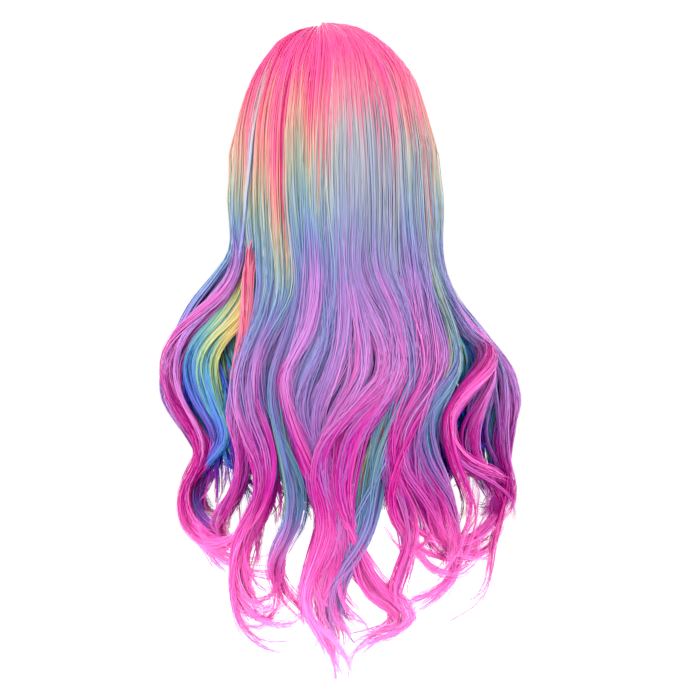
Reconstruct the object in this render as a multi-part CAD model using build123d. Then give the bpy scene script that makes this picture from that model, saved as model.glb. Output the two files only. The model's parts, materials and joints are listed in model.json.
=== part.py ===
from build123d import *
from math import cos, radians, sin, sqrt
import os

# Long wavy costume wig: a net cap that fits a head, hair wefts sewn round it in rows, a thick
# layer of crown hair over them, and the straps and tabs that fit the cap to its wearer.
# Frame: origin in the middle of the head cavity at brow level, +Z up, the face looks along -Y,
# +X is the wearer's left. All lengths are in millimetres.

# ---------------------------------------------------------------- driving dimensions: the head
HEAD_HALF_WIDTH = 77.0
HEAD_HALF_DEPTH = 98.0
CROWN_HEIGHT = 112.0

# The cap is cut out of round shells drawn on a ball of radius BALL, which is then drawn in to the
# head's own half-width, half-depth and height. Lengths named "ball" are measured on that ball.
BALL = 100.0
BALL_TO_HEAD = (HEAD_HALF_WIDTH / BALL, HEAD_HALF_DEPTH / BALL, CROWN_HEIGHT / BALL)

# Ball radii of each layer, from the scalp outwards: (inner face, outer face).
SIZE_TAB_LAYER = (96.8, 97.6)
TAPE_LAYER = (97.0, 98.1)
TAB_LINING_LAYER = (97.8, 98.7)
BAND_LAYER = (98.4, 99.7)
STAY_LAYER = (98.9, 99.7)
NET_LAYER = (100.0, 101.2)
PATCH_LAYER = (101.4, 102.2)
TRACK_LAYER = (101.6, 103.0)

# ---------------------------------------------------------------- driving dimensions: the cap
HAIRLINE_POINT = (0.0, -88.0, 47.0)
HAIRLINE_NORMAL = (0.0, 0.846, 0.534)
NAPE_EDGE = -49.0
EAR_CENTRE = (2.0, -35.0)
EAR_RADIUS = 27.0
BINDING_WIDTH = 4.0
SIDE_SEAM = 60.0
BACK_SEAM = 20.0
SEAM_GAP = 0.35
TAB_TOP = -13.0
TAB_SEAM_GAP = 1.6
TAB_SWING_LEVEL = -12.2
FRONT_BAND_WIDTH = 12.0
NAPE_BAND_WIDTH = 12.0
STAY_INSET = (4.0, 8.0)
STAY_SPAN = (-44.0, -16.0)
PARTING_X = 12.0
PARTING_PATCH = (38.0, 96.0)
PARTING_LINING = (46.0, 104.0)
SIZE_TAB = (26.0, 11.0)
SIZE_TAB_LEVEL = -30.0
LOOP_TAPE_SPAN = (4.0, 26.0)
ANCHOR_SPAN = (60.0, 68.0)
CROWN_RING = (8.0, 11.0)

# ---------------------------------------------------------------- driving dimensions: the wefts
ROW_LEVELS = (-52.0, -34.0, -16.0, 2.0, 20.0, 38.0, 56.0, 74.0)
ROW_REACH = (68.0, 69.0, 74.0, 112.0, 118.0, 119.0, 119.0, 119.0)
TRACK_HEIGHT = 3.1
ROW_PITCH = 3.0
ROW_THICKNESS = 2.4
ROW_START_DROP = 2.2
ROW_LIFT_FROM = 13.0
ROW_LIFT_TO = 4.0
SHORTEST_ROW_END = -322.0
ROW_END_STEP = -6.0
FACE_WEFT_LEVEL = 27.0
FACE_WEFT_REACH = (124.5, 136.5)

# ---------------------------------------------------------------- driving dimensions: the hair
# Where the hair's innermost and outermost surfaces stand, level by level: (z, half-width, half-depth).
# Above brow level both surfaces are domes.
HAIR_BASE_DOME = (81.0, 102.5, 117.0)
HAIR_TOP_DOME = (103.5, 124.0, 127.0)
HAIR_BASE = (
    (0.0, 81.0, 102.5),
    (-16.0, 80.3, 101.5),
    (-34.0, 78.0, 99.0),
    (-52.0, 74.0, 93.5),
    (-60.0, 73.5, 91.5),
    (-100.0, 71.5, 86.0),
    (-125.0, 82.0, 84.0),
    (-150.0, 100.0, 84.0),
    (-175.0, 117.0, 86.0),
    (-200.0, 132.0, 89.0),
    (-225.0, 141.0, 92.0),
    (-250.0, 142.0, 94.0),
    (-300.0, 138.0, 96.0),
    (-372.0, 136.0, 96.0),
    (-532.0, 136.0, 92.0),
)
HAIR_OUTSIDE = (
    (0.0, 103.5, 124.0),
    (-30.0, 107.0, 125.0),
    (-60.0, 109.5, 125.0),
    (-100.0, 107.5, 120.0),
    (-125.0, 118.0, 118.0),
    (-150.0, 136.0, 119.0),
    (-175.0, 153.0, 121.0),
    (-200.0, 168.0, 124.0),
    (-225.0, 176.0, 127.0),
    (-250.0, 177.0, 129.0),
    (-300.0, 173.0, 131.0),
    (-372.0, 171.0, 131.0),
    (-532.0, 171.0, 127.0),
)
# The hair leaves the head all round it and is gathered back behind the shoulders: the share of its
# angle on the head that is left at each level. Lower down it hangs a little to the wearer's right.
GATHER = ((-60.0, 1.0), (-100.0, 0.92), (-150.0, 0.80), (-200.0, 0.73), (-250.0, 0.70), (-532.0, 0.70))
SIDE_LEAN = ((-125.0, 0.0), (-200.0, -5.0), (-532.0, -5.0))
CROWN_GAP = 0.7
SECTOR_GAP = 0.35
CROWN_LEVELS = (
    126.0, 121.0, 116.0, 111.0, 105.0, 98.0, 90.0, 82.0, 74.0, 60.0, 47.0, 38.0, 24.0, 10.0, 0.0,
    -16.0, -30.0, -45.0, -60.0, -100.0, -125.0, -150.0, -175.0, -200.0, -225.0, -250.0, -300.0, -372.0,
)
SWIRL_LEVEL = 112.0
SWIRL_X = 10.5
SWIRL_RADIUS = 8.0
SWIRL_CLEARANCE = 0.5
SWIRL_SPAN = (115.2, 126.0)
PARTING_SHIFT_FROM = 60.0
# Angle of the crown hair's front edge, level by level: nearly closed over the parting, then swept
# back off the face.
FRONT_EDGE = (
    (126.0, 177.0), (98.0, 177.0), (90.0, 175.0), (82.0, 170.0), (74.0, 162.0), (60.0, 144.0), (47.0, 132.0),
    (38.0, 126.0), (24.0, 122.0), (0.0, 123.5), (-30.0, 127.0), (-60.0, 129.0), (-100.0, 131.0),
    (-532.0, 131.0),
)
BACK_TO_SIDE = 45.0
SIDE_TO_FRONT = 87.0
# Hems of the three crown sectors of each side: (z, start angle, end angle) below the last common level.
BACK_HEM = ((-440.0, 0.0, 30.0), (-480.0, 0.0, 25.0), (-510.0, 0.0, 16.0), (-532.0, 0.0, 8.0))
SIDE_HEM = ((-405.0, 31.5, 56.0), (-440.0, 31.5, 42.0))
FRONT_HEM = ((-390.0, 61.0, 84.0),)
# Hair that frames the face: (z, start angle, end angle, thickness).
FACE_LOCK = (
    (25.0, 124.5, 136.5, 8.0), (0.0, 126.0, 141.0, 10.0), (-30.0, 129.5, 145.0, 12.0),
    (-60.0, 131.5, 148.0, 13.0), (-100.0, 133.5, 149.0, 14.0), (-150.0, 133.5, 150.0, 16.0),
    (-200.0, 133.5, 150.0, 18.0), (-250.0, 133.5, 148.0, 18.0), (-300.0, 135.0, 144.0, 12.0),
)
FACE_LOCK_STANDOFF = 1.0

# ---------------------------------------------------------------- driving dimensions: the straps
STRAP_PIVOT = (54.2, 39.8)
STRAP_DIRECTION = (-0.816, 0.578)
STRAP_LEVEL = -48.0
STRAP_HEIGHT = 8.0
STRAP_THICKNESS = 0.9
STRAP_FOLD_RADIUS = 1.4
STRAP_FOLD_LENGTH = 6.0
STRAP_LENGTH = 24.0
HOOK_HEIGHT = 7.0
HOOK_PLATE = 9.0
HOOK_SHEET = 0.9
HOOK_BEND = 1.2
HOOK_RETURN = 5.0
HOOK_BAR_RADIUS = 0.9
HOOK_GAP = 0.3
LOOP_ANGLES = (8.0, 14.0, 20.0)
LOOP_SIZE = (1.0, 2.6, 7.6)
LOOP_EYE = (1.6, 5.6)
LOOP_STANDOFF = 0.35
LOOP_TILT = -23.5

FAR = 4.0 * BALL


# ---------------------------------------------------------------- helpers on the ball
def slab(low, high, axis):
    """Everything between two values of one coordinate on the ball."""
    size = [FAR, FAR, FAR]
    centre = [0.0, 0.0, 0.0]
    size[axis] = high - low
    centre[axis] = (high + low) / 2
    return Pos(*centre) * Box(*size)


def shell(layer):
    inner, outer = layer
    return Sphere(outer) - Sphere(inner)


def behind_hairline(margin=0.0):
    """The half space of the cap, margin behind the plane of the hairline."""
    plane = Plane(origin=HAIRLINE_POINT, x_dir=(1, 0, 0), z_dir=HAIRLINE_NORMAL)
    return plane * Pos(0, 0, FAR / 2 + margin) * Box(FAR, FAR, FAR)


def ear_hole(radius):
    y, z = EAR_CENTRE
    return Pos(0, y, z) * Rot(0, 90, 0) * Cylinder(radius, FAR)


def wedge(start, end):
    """A tall sector of the plan, between two angles counted from the back of the head towards +X."""
    steps = 8
    angles = [radians(start + (end - start) * i / steps) for i in range(steps + 1)]
    rim = [(FAR * sin(a), FAR * cos(a)) for a in angles]
    return extrude(make_face(Polyline((0, 0), *rim, close=True)), amount=FAR, both=True)


def drawn_to_head(shape):
    return scale(shape, by=BALL_TO_HEAD)


def both_sides(name, left_shape):
    """Save a left piece and its mirror image under their own names."""
    save(f"{name}_left", left_shape)
    save(f"{name}_right", mirror(left_shape, about=Plane.YZ))


def save(name, shape):
    export_step(Compound(children=list(shape.solids())), f"parts/{name}.step")


# ---------------------------------------------------------------- net cap
def cap_outline(layer, hairline_margin=0.0, ear_margin=0.0):
    outline = shell(layer) & behind_hairline(hairline_margin) & slab(NAPE_EDGE, FAR, 2)
    return outline - ear_hole(EAR_RADIUS + ear_margin)


def build_net_panels():
    """Crown, back and side panels of open net, with a narrow gap where each seam runs."""
    outline = cap_outline(NET_LAYER)
    middle = outline & slab(-SIDE_SEAM, SIDE_SEAM, 0)
    behind_and_below = slab(0, FAR, 1) & slab(-FAR, BACK_SEAM, 2)
    save("crown_panel", drawn_to_head(middle - behind_and_below))
    save("back_panel", drawn_to_head(middle & slab(0, FAR, 1) & slab(-FAR, BACK_SEAM - SEAM_GAP, 2)))
    tab_region = slab(-FAR, 0, 1) & slab(-FAR, TAB_TOP + TAB_SEAM_GAP, 2)
    left_side = (outline & slab(SIDE_SEAM + SEAM_GAP, FAR, 0)) - tab_region
    both_sides("side_panel", drawn_to_head(left_side))


def build_edge_bands():
    """Bands inside the hairline and the nape, and bindings round the ear cut-outs."""
    front = cap_outline(BAND_LAYER) - behind_hairline(FRONT_BAND_WIDTH)
    front = front & slab(TAB_TOP + TAB_SEAM_GAP, FAR, 2)
    save("front_band", drawn_to_head(front))
    nape = cap_outline(BAND_LAYER) & slab(NAPE_EDGE, NAPE_EDGE + NAPE_BAND_WIDTH, 2) & slab(0, FAR, 1)
    save("nape_band", drawn_to_head(nape))
    binding = shell(PATCH_LAYER) & ear_hole(EAR_RADIUS + BINDING_WIDTH) & slab(0, FAR, 0)
    binding = binding - ear_hole(EAR_RADIUS)
    binding = binding & behind_hairline() & slab(NAPE_EDGE, FAR, 2)
    binding = binding - (slab(-FAR, 0, 1) & slab(-FAR, TAB_TOP + TAB_SEAM_GAP, 2))
    both_sides("ear_binding", drawn_to_head(binding))


def build_ear_tabs():
    """The flap in front of each ear, its bendable stay and the lining that covers the stay."""
    flap_region = slab(0, FAR, 0) & slab(-FAR, 0, 1) & slab(-FAR, TAB_TOP, 2)
    both_sides("ear_tab", drawn_to_head(cap_outline(NET_LAYER) & flap_region))
    near, far = STAY_INSET
    stay = cap_outline(STAY_LAYER, near) - behind_hairline(far)
    both_sides("ear_tab_stay", drawn_to_head(stay & flap_region & slab(*STAY_SPAN, 2)))
    both_sides("ear_tab_lining", drawn_to_head(cap_outline(TAB_LINING_LAYER, 0.6, 0.6) & flap_region))


def build_parting():
    """A skin-coloured patch under the parting and the lining below it."""
    patch_x = PARTING_X / BALL_TO_HEAD[0]
    for name, layer, size in (
        ("parting_patch", PATCH_LAYER, PARTING_PATCH),
        ("parting_lining", BAND_LAYER, PARTING_LINING),
    ):
        across, along = size
        front_margin = FRONT_BAND_WIDTH + 0.6 if name == "parting_lining" else 1.0
        column = Pos(patch_x, -along / 2 + 20.0, BALL) * Box(across, along, BALL)
        save(name, drawn_to_head(shell(layer) & column & behind_hairline(front_margin)))


def build_size_tab():
    across, tall = SIZE_TAB
    window = slab(-across / 2, across / 2, 0) & slab(0, FAR, 1)
    window = window & slab(SIZE_TAB_LEVEL - tall / 2, SIZE_TAB_LEVEL + tall / 2, 2)
    save("size_tab", drawn_to_head(shell(SIZE_TAB_LAYER) & window))


# ---------------------------------------------------------------- weft tracks
def track(level_on_head, start, end):
    level = level_on_head / BALL_TO_HEAD[2]
    half = TRACK_HEIGHT / BALL_TO_HEAD[2] / 2
    return shell(TRACK_LAYER) & slab(level - half, level + half, 2) & wedge(start, end)


def build_tracks():
    """The sewn heads of the wefts, one round the cap for each row of hair."""
    for number, (level, reach) in enumerate(zip(ROW_LEVELS, ROW_REACH), start=1):
        save(f"weft_track_{number:02d}", drawn_to_head(track(level, -reach, reach)))
    both_sides("face_weft", drawn_to_head(track(FACE_WEFT_LEVEL, *FACE_WEFT_REACH)))
    inner, outer = CROWN_RING
    tube = Cylinder(outer, FAR) - Cylinder(inner, FAR)
    save("crown_ring", drawn_to_head(shell(PATCH_LAYER) & (Pos(0, 34, 0) * tube) & slab(0, FAR, 2)))


# ---------------------------------------------------------------- hair
def along(table, z):
    """Value of a table at level z, in straight steps between its rows, which go downwards."""
    if z >= table[0][0]:
        return table[0][1:]
    for above, below in zip(table, table[1:]):
        if z >= below[0]:
            share = (above[0] - z) / (above[0] - below[0])
            return tuple(a + (b - a) * share for a, b in zip(above[1:], below[1:]))
    return table[-1][1:]


def dome(half_axes, z):
    width, depth, height = half_axes
    shrink = sqrt(1 - (z / height) ** 2)
    return width * shrink, depth * shrink


def rows_passed(z, rows_below=len(ROW_LEVELS)):
    """How many of the lowest rows of weft hair lie inside this level, with a slope where each begins."""
    total = 0.0
    for level in ROW_LEVELS[:rows_below]:
        share = (level + ROW_LIFT_FROM - z) / (ROW_LIFT_FROM - ROW_LIFT_TO)
        total += min(max(share, 0.0), 1.0)
    return total


def base_surface(z):
    return dome(HAIR_BASE_DOME, z) if z > 0 else along(HAIR_BASE, z)


def outside_surface(z):
    return dome(HAIR_TOP_DOME, z) if z > 0 else along(HAIR_OUTSIDE, z)


def grown(surface, amount):
    width, depth = surface
    return width + amount, depth + amount


def gathered(angle, z):
    return angle * along(GATHER, z)[0]


def lean(z):
    return along(SIDE_LEAN, z)[0]


def parting_shift(z):
    """Above the temples the hair's outside moves over towards the parting."""
    top = HAIR_TOP_DOME[2] - 1.0
    rise = max(z - PARTING_SHIFT_FROM, 0.0) / (top - PARTING_SHIFT_FROM)
    return PARTING_X * rise ** 2


def arc_between(centre_x, surface, start, end):
    """Part of the ellipse of one level, between two angles counted from the back towards +X."""
    width, depth = surface

    def at(angle):
        return centre_x + width * sin(radians(angle)), depth * cos(radians(angle))

    steps = max(2, round(abs(end - start) / 15))
    return Spline(*[at(start + (end - start) * i / steps) for i in range(steps + 1)])


def hair_section(z, inner, outer, start, end, inner_x=None, outer_x=None):
    """One level of a body of hair, between two surfaces and two angles."""
    inner_arc = arc_between(lean(z) if inner_x is None else inner_x, inner, start, end)
    outer_arc = arc_between(lean(z) if outer_x is None else outer_x, outer, start, end)
    ends = [Line(inner_arc @ 0, outer_arc @ 0), Line(inner_arc @ 1, outer_arc @ 1)]
    return Pos(0, 0, z) * make_face(Curve() + [inner_arc, outer_arc] + ends)


def hanging(sections):
    return loft(sections, ruled=True)


def build_weft_hair():
    """Eight curtains of hair, each hanging from its own track and lying over the row below."""
    for number, (level, reach) in enumerate(zip(ROW_LEVELS, ROW_REACH), start=1):
        top = level - ROW_START_DROP
        bottom = SHORTEST_ROW_END + ROW_END_STEP * number
        lifts = [row + lift for row in ROW_LEVELS for lift in (ROW_LIFT_FROM, ROW_LIFT_TO)]
        stations = lifts + [row[0] for row in HAIR_BASE] + [row[0] for row in GATHER]
        levels = sorted({z for z in stations if bottom + 8 < z < top - 2} | {top, bottom}, reverse=True)
        sections = []
        for z in levels:
            inner = grown(base_surface(z), rows_passed(z, number - 1) * ROW_PITCH)
            outer = grown(inner, ROW_THICKNESS)
            angle = gathered(reach, z)
            sections.append(hair_section(z, inner, outer, -angle, angle))
        save(f"weft_hair_{number:02d}", hanging(sections))


def crown_section(z, start, end):
    """One level of the crown hair. Round the swirl on top it keeps a round hole."""
    outer = outside_surface(z)
    shift = parting_shift(z)
    if z > SWIRL_LEVEL:
        hole = (SWIRL_RADIUS, SWIRL_RADIUS)
        return hair_section(z, hole, outer, start, end, SWIRL_X, shift)
    inner = grown(base_surface(z), rows_passed(z) * ROW_PITCH + CROWN_GAP)
    return hair_section(z, inner, outer, start, end, lean(z), lean(z) + shift)


def crown_sector(start_of, end_of, hem, side):
    sections = []
    for z in CROWN_LEVELS:
        start = gathered(start_of(z), z) + SECTOR_GAP
        end = gathered(end_of(z), z) - SECTOR_GAP
        sections.append(crown_section(z, side * start, side * end))
    for z, start, end in hem:
        sections.append(crown_section(z, side * (start + SECTOR_GAP), side * (end - SECTOR_GAP)))
    return hanging(sections)


def build_crown_hair():
    """The outermost layer, parted on top, in a back, a side and a front body of hair on each side."""
    def centre(z):
        return 0.0

    def back_edge(z):
        return BACK_TO_SIDE

    def side_edge(z):
        return SIDE_TO_FRONT

    def front_edge(z):
        return along(FRONT_EDGE, z)[0]

    for side_name, side in (("left", 1), ("right", -1)):
        save(f"crown_hair_back_{side_name}", crown_sector(centre, back_edge, BACK_HEM, side))
        save(f"crown_hair_side_{side_name}", crown_sector(back_edge, side_edge, SIDE_HEM, side))
        save(f"crown_hair_front_{side_name}", crown_sector(side_edge, front_edge, FRONT_HEM, side))


def build_swirl():
    """The tuft that closes the middle of the crown, where the hair turns."""
    low, high = SWIRL_SPAN
    radius = SWIRL_RADIUS - SWIRL_CLEARANCE
    tuft = Cylinder(radius, high - low, align=(Align.CENTER, Align.CENTER, Align.MIN))
    tuft = fillet(tuft.edges().group_by(Axis.Z)[-1], radius * 0.4)
    save("crown_swirl", Pos(SWIRL_X, 0, low) * tuft)


def build_face_locks():
    """Hair that falls in front of the ears and over the front of the shoulders."""
    sections = []
    for z, start, end, thickness in FACE_LOCK:
        inner = grown(base_surface(z), FACE_LOCK_STANDOFF)
        sections.append(hair_section(z, inner, grown(inner, thickness), start, end, 0.0, 0.0))
    both_sides("face_lock", hanging(sections))


# ---------------------------------------------------------------- straps, hooks and loops
def on_strap(shape):
    """Place a shape that is drawn along its own X from the pivot, with +Y towards the cap."""
    x, y = STRAP_PIVOT
    plane = Plane(origin=(x, y, STRAP_LEVEL), x_dir=(*STRAP_DIRECTION, 0), z_dir=(0, 0, -1))
    return plane * shape


def build_straps():
    """The sewn fold that the strap turns on, the elastic webbing and the hook on its end."""
    fold = Cylinder(STRAP_FOLD_RADIUS, STRAP_HEIGHT)
    fold = fold + Pos(STRAP_FOLD_LENGTH / 2, 0, 0) * Box(STRAP_FOLD_LENGTH, STRAP_THICKNESS * 2, STRAP_HEIGHT)
    both_sides("strap_fold", on_strap(fold))
    webbing_start = STRAP_FOLD_LENGTH + HOOK_GAP / 2
    webbing = Box(STRAP_LENGTH, STRAP_THICKNESS, STRAP_HEIGHT, align=(Align.MIN, Align.CENTER, Align.CENTER))
    both_sides("strap_webbing", on_strap(Pos(webbing_start, 0, 0) * webbing))
    both_sides("strap_hook", on_strap(Pos(webbing_start + STRAP_LENGTH + HOOK_GAP, 0, 0) * hook()))


def hook():
    """A bar for the webbing, a flat plate and a tip bent back towards the cap."""
    outer = HOOK_BEND + HOOK_SHEET
    plate = Pos(HOOK_PLATE / 2 + HOOK_BAR_RADIUS, 0) * Rectangle(HOOK_PLATE, HOOK_SHEET)
    bend_x = HOOK_PLATE + HOOK_BAR_RADIUS
    bend_y = HOOK_BEND + HOOK_SHEET / 2
    bend = Pos(bend_x, bend_y) * (Circle(outer) - Circle(HOOK_BEND))
    bend = bend & Pos(bend_x + outer / 2, bend_y) * Rectangle(outer, 2 * outer)
    tip = Pos(bend_x - HOOK_RETURN / 2, 2 * bend_y) * Rectangle(HOOK_RETURN, HOOK_SHEET)
    bar = Pos(HOOK_BAR_RADIUS, 0) * Circle(HOOK_BAR_RADIUS)
    return extrude(plate + bend + tip + bar, amount=HOOK_HEIGHT / 2, both=True)


def build_strap_seats():
    """On each side, the patch that the strap is sewn to and the tape of loops for its hook."""
    strap_level = STRAP_LEVEL / BALL_TO_HEAD[2]
    tall = slab(strap_level - 4.0, strap_level + 4.0, 2) & slab(NAPE_EDGE + 0.5, FAR, 2)
    both_sides("strap_anchor", drawn_to_head(shell(TAPE_LAYER) & tall & wedge(*ANCHOR_SPAN)))
    both_sides("loop_tape", drawn_to_head(shell(TAPE_LAYER) & tall & wedge(*LOOP_TAPE_SPAN)))
    thick, deep, high = LOOP_SIZE
    eye_deep, eye_high = LOOP_EYE
    loop = Box(thick, deep, high) - Pos(0, (deep - eye_deep) / 2, 0) * Box(thick * 2, eye_deep, eye_high)
    loops = [loop_place(angle, deep) * loop for angle in LOOP_ANGLES]
    both_sides("strap_loops", Compound(children=[solid for item in loops for solid in item.solids()]))


def loop_place(angle, deep):
    """Where a loop stands off the inner face of its tape, with its open back to the tape."""
    radius = sqrt(TAPE_LAYER[0] ** 2 - (STRAP_LEVEL / BALL_TO_HEAD[2]) ** 2)
    x = radius * BALL_TO_HEAD[0] * sin(radians(angle))
    y = radius * BALL_TO_HEAD[1] * cos(radians(angle))
    return Pos(x, y, STRAP_LEVEL) * Rot(0, 0, -angle) * Rot(LOOP_TILT, 0, 0) * Pos(0, -deep / 2 - LOOP_STANDOFF, 0)


def print_swing_axis():
    """The line that the left ear tab swings about, for the record."""
    ends = []
    for y in (-50.5, -12.5):
        x = sqrt((NET_LAYER[0] + 0.6) ** 2 - y ** 2 - TAB_SWING_LEVEL ** 2)
        ends.append((x * BALL_TO_HEAD[0], y * BALL_TO_HEAD[1], TAB_SWING_LEVEL * BALL_TO_HEAD[2]))
    print("ear tab axis from", ends[0], "to", ends[1])


os.makedirs("parts", exist_ok=True)
build_net_panels()
build_edge_bands()
build_ear_tabs()
build_parting()
build_size_tab()
build_tracks()
build_weft_hair()
build_crown_hair()
build_swirl()
build_face_locks()
build_straps()
build_strap_seats()
print_swing_axis()
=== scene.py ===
import json
from math import pi

import bpy
import numpy as np
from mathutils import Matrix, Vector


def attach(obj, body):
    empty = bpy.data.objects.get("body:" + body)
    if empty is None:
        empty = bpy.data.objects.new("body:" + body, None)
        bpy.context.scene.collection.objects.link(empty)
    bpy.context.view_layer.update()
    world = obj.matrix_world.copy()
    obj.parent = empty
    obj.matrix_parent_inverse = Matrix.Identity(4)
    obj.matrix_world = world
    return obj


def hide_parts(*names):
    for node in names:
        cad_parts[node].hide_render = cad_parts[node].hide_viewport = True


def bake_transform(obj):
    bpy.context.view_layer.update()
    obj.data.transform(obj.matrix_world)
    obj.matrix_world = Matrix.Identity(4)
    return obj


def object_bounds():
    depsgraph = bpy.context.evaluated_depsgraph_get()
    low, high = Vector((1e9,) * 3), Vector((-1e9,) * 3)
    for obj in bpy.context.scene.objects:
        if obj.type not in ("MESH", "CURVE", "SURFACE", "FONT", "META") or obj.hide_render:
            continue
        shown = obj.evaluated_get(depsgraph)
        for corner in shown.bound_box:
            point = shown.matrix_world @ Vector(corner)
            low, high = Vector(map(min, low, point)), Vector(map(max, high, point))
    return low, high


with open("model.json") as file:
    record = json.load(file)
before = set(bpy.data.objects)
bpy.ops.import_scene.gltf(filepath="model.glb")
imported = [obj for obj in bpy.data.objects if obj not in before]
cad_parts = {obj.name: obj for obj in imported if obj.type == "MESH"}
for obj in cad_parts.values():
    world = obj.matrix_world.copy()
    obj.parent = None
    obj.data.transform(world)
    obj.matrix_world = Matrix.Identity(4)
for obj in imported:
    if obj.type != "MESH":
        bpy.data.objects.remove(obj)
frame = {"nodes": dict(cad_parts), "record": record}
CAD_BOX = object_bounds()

MM = 0.001
RNG = np.random.default_rng(20261117)

# ---- the shape that the hair falls in
# All hair is drawn in millimetres and scaled to metres when its mesh is made. Height (z) is counted from
# brow level. Angles round the head are in degrees from its back towards the wearer's left (+X).

# Half-sizes of the dome of hair above brow level, to the side, to the back and upwards, and how far its
# width is squeezed on the left and on the right at some heights.
DOME_OUTSIDE = (103.5, 124.0, 129.0)
DOME_SQUEEZE = (
    (0, 1.0, 1.0), (25, 0.97, 0.95), (55, 0.955, 0.93), (85, 0.955, 0.935), (100, 0.97, 0.92),
    (110, 0.98, 0.93), (117, 0.92, 0.96), (122, 0.82, 1.0), (129, 0.7, 1.1),
)
# The parting: how far it lies to the left, the height it starts to shift at, and its groove.
PARTING_X = 12.0
PARTING_SHIFT_FROM = 60.0
PARTING_DEPTH = 8.5
PARTING_WIDTH = 8.0

# Half-widths of the outline on each side and the depth of the back, level by level.
LEFT_EDGE = (
    (0, 103), (-50, 108), (-100, 104), (-125, 121), (-150, 142), (-175, 155), (-200, 168), (-225, 174),
    (-250, 170), (-275, 155), (-300, 140), (-325, 145), (-350, 154), (-375, 151), (-400, 142), (-540, 140),
)
RIGHT_EDGE = (
    (0, 104), (-50, 110), (-100, 108), (-125, 113), (-150, 125), (-175, 147), (-200, 166), (-225, 180),
    (-250, 184), (-275, 181), (-300, 177), (-325, 178), (-350, 184), (-375, 178), (-400, 168), (-540, 165),
)
BACK_DEPTH = (
    (0, 124), (-60, 125), (-100, 120), (-150, 119), (-200, 122), (-250, 126), (-300, 128), (-540, 126),
)
# Half-width and depth of the innermost hair, and how far the hair of the wefts draws in towards the back.
HAIR_BASE = (
    (0, 81, 102), (-60, 74, 92), (-100, 71, 86), (-150, 100, 84), (-200, 132, 89), (-250, 142, 94),
    (-300, 138, 96), (-540, 136, 92),
)
GATHER = ((0, 1.0), (-60, 1.0), (-100, 0.92), (-150, 0.80), (-200, 0.73), (-250, 0.70), (-540, 0.70))

LEVELS = np.arange(0.0, 561.0, 2.0)
# The hair below brow level hangs about this far from the middle of the head.
TYPICAL_RADIUS = 150.0
MM_PER_DEGREE = 2.6
# The left outline blends into the right one over about this many degrees on each side of the back.
SIDES_MEET_WITHIN = 12.0


def smooth_levels(rows, column=1, reach=9):
    """A table of given levels as one smooth curve, looked up by depth below brow level."""
    rows = np.array(rows, float)
    values = np.interp(LEVELS, -rows[:, 0], rows[:, column])
    window = np.hanning(2 * reach + 1)
    padded = np.pad(values, reach, mode="edge")
    return np.convolve(padded, window / window.sum(), mode="valid")


LEFT_CURVE = smooth_levels(LEFT_EDGE, reach=5)
RIGHT_CURVE = smooth_levels(RIGHT_EDGE, reach=5)
DEPTH_CURVE = smooth_levels(BACK_DEPTH)
BASE_WIDTH_CURVE = smooth_levels(HAIR_BASE)
BASE_DEPTH_CURVE = smooth_levels(HAIR_BASE, column=2)
GATHER_CURVE = smooth_levels(GATHER)


def at_level(curve, z):
    return np.interp(-z, LEVELS, curve)


def smooth_step(low, high, value):
    t = np.clip((value - low) / (high - low), 0.0, 1.0)
    return t * t * (3 - 2 * t)


def half_width(angle, z):
    left = 0.5 + 0.5 * np.tanh(angle / SIDES_MEET_WITHIN)
    return left * at_level(LEFT_CURVE, z) + (1 - left) * at_level(RIGHT_CURVE, z)


def drape_point(angle, z, outwards):
    """A point below brow level, outwards being measured from the outline (negative is inside)."""
    turn = np.radians(angle)
    x = (half_width(angle, z) + outwards) * np.sin(turn)
    y = (at_level(DEPTH_CURVE, z) + outwards) * np.cos(turn)
    return np.stack([x, y, z], axis=-1)


def dome_point(angle, tilt, outwards):
    """A point of the dome above brow level, tilt degrees down from its top."""
    width, depth, height = (half + outwards for half in DOME_OUTSIDE)
    turn, lean = np.radians(angle), np.radians(tilt)
    z = height * np.cos(lean)
    rise = np.clip(z - PARTING_SHIFT_FROM, 0, None) / (DOME_OUTSIDE[2] - PARTING_SHIFT_FROM)
    level, left, right = np.array(DOME_SQUEEZE).T
    squeeze = np.where(np.sin(turn) > 0, np.interp(z, level, left), np.interp(z, level, right))
    x = PARTING_X * rise ** 4 + squeeze * width * np.sin(lean) * np.sin(turn)
    y = depth * np.sin(lean) * np.cos(turn)
    return np.stack([x, y, z], axis=-1)


# ---- leading locks
# Each leading lock is a path drawn over the back of the wig: (x, z) points below the level where the waves
# start. root is its angle on the head, depth how far inside the outline it lies, and dye how far its colours
# run ahead of (+) or behind (-) the common fade at each of DYE_LEVELS.
DYE_LEVELS = (-60.0, 0.0, 60.0, 130.0, 210.0, 290.0, 350.0, 420.0)


def drawn(root, depth, dye, *path, **other):
    """A lock as drawn: its path is a run of (x, z) points."""
    return dict(root=root, depth=depth, dye=dye, path=path, **other)


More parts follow.
